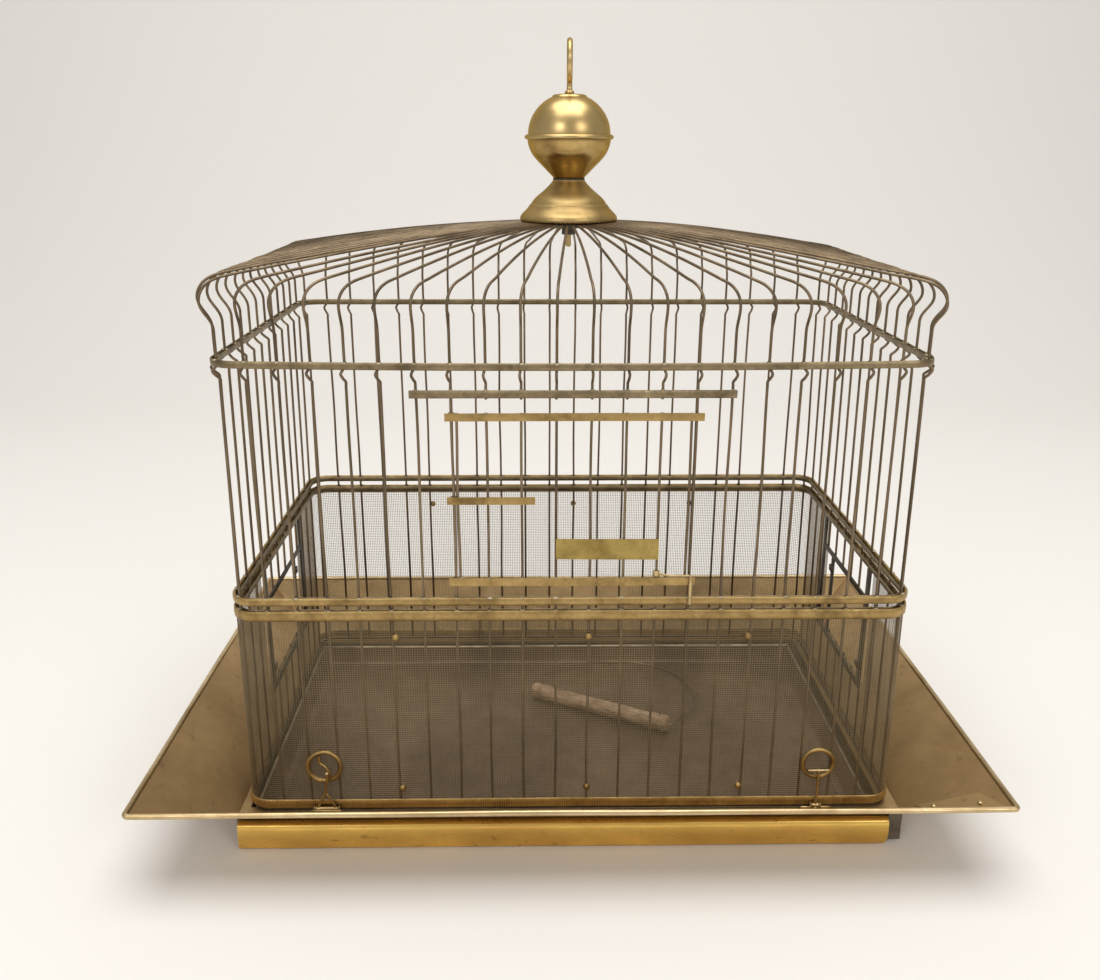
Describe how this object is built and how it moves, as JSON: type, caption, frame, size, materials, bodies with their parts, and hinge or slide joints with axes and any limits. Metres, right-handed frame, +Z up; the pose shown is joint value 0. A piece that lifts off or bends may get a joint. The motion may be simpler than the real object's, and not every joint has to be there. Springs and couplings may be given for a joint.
{
  "type": "bird cage",
  "caption": "Rectangular domed wire bird cage with a front door, fine wire cloth round the lower wall, a hanging ring, and a flared sheet brass base with a slide-out tray.",
  "frame": {"origin": "centre of the base's underside, on the surface it stands on", "axes": "+Z up through the domed roof, -Y towards the front with the door and the drawer, +X along the longest side, to the right seen from the front"},
  "size_m": [0.5084, 0.3404, 0.4725],
  "materials": {
    "aged_brass": "aged, dull, olive and brown tarnish",
    "bright_brass": "rubbed bright, with tarnish in the hollows",
    "strip_brass": "folded strip, dull with bright edges",
    "cage_wire": "dark tarnished drawn wire",
    "mesh_wire": "fine woven wire, dark",
    "zinc": "old zinc sheet, stained brown and grey",
    "dark_iron": "dark oxidised",
    "dark_wood": "turned, worn"
  },
  "bodies": {
    "base": {"base_ledge": "aged_brass", "runner_left": "zinc", "runner_right": "zinc", "base_back": "zinc", "skirt_front": "aged_brass", "skirt_back": "aged_brass", "skirt_left": "aged_brass", "skirt_right": "aged_brass", "skirt_rim": "aged_brass", "lap_tab": "aged_brass", "tab_rivets": "bright_brass", "clip_brackets": "aged_brass", "toggle_pins": "cage_wire"},
    "drawer": {"tray_floor": "zinc", "tray_walls": "zinc", "drawer_front": "bright_brass", "perch": "dark_wood"},
    "cage": {"bottom_wire": "cage_wire", "bottom_band": "strip_brass", "mesh_front": "mesh_wire", "mesh_back": "mesh_wire", "mesh_left": "mesh_wire", "mesh_right": "mesh_wire", "mesh_corners": "mesh_wire", "mesh_binding": "strip_brass", "mesh_binding_inner": "strip_brass", "lower_band": "strip_brass", "lower_band_inner": "strip_brass", "upper_band": "strip_brass", "upper_band_inner": "strip_brass", "header_strip": "strip_brass", "wall_wires_front": "cage_wire", "wall_wires_back": "cage_wire", "wall_wires_left": "cage_wire", "wall_wires_right": "cage_wire", "corner_wires": "cage_wire", "roof_wires_front": "cage_wire", "roof_wires_back": "cage_wire", "roof_wires_left": "cage_wire", "roof_wires_right": "cage_wire", "roof_wires_corner": "cage_wire", "hub_disc": "dark_iron", "bell": "bright_brass", "ball_lower": "bright_brass", "ball_upper": "bright_brass", "seam_bead": "bright_brass", "studs": "bright_brass", "feeder_frames": "dark_iron", "catch_rings": "bright_brass"},
    "door": {"door_wires": "cage_wire", "door_strips": "strip_brass", "door_plate": "bright_brass"},
    "latch": {"door_latch": "bright_brass"},
    "hanger": {"hanger_ring": "bright_brass", "hanger_nut": "dark_iron"},
    "clip_left": {"toggle_left": "bright_brass"},
    "clip_right": {"toggle_right": "bright_brass"},
    "bail": {"bail": "dark_iron"}
  },
  "joints": [
    {"name": "cage_lift", "type": "slide", "parent": "base", "child": "cage", "axis": [0, 0, 1], "range_m": [0, 0.12]},
    {"name": "drawer_slide", "type": "slide", "parent": "base", "child": "drawer", "axis": [0, -1, 0], "range_m": [0, 0.2]},
    {"name": "door_hinge", "type": "hinge", "parent": "cage", "child": "door", "pos_m": [-0.06707, -0.1169, 0.2], "axis": [0, 0, -1], "range_deg": [0, 110]},
    {"name": "latch_swivel", "type": "hinge", "parent": "door", "child": "latch", "pos_m": [0.04801, -0.11738, 0.1789], "axis": [0, 0, -1], "range_deg": [0, 80]},
    {"name": "hanger_swivel", "type": "hinge", "parent": "cage", "child": "hanger", "pos_m": [0, 0, 0.44], "axis": [0, 0, 1], "continuous": true},
    {"name": "clip_left_hinge", "type": "hinge", "parent": "base", "child": "clip_left", "pos_m": [-0.1496, -0.12175, 0.0254], "axis": [1, 0, 0], "range_deg": [0, 55]},
    {"name": "clip_right_hinge", "type": "hinge", "parent": "base", "child": "clip_right", "pos_m": [0.1512, -0.12175, 0.0254], "axis": [1, 0, 0], "range_deg": [0, 55]},
    {"name": "bail_hinge", "type": "hinge", "parent": "drawer", "child": "bail", "pos_m": [0.0265, 0.0258, 0.00955], "axis": [0.8838, -0.4679, 0], "range_deg": [0, 5]}
  ]
}
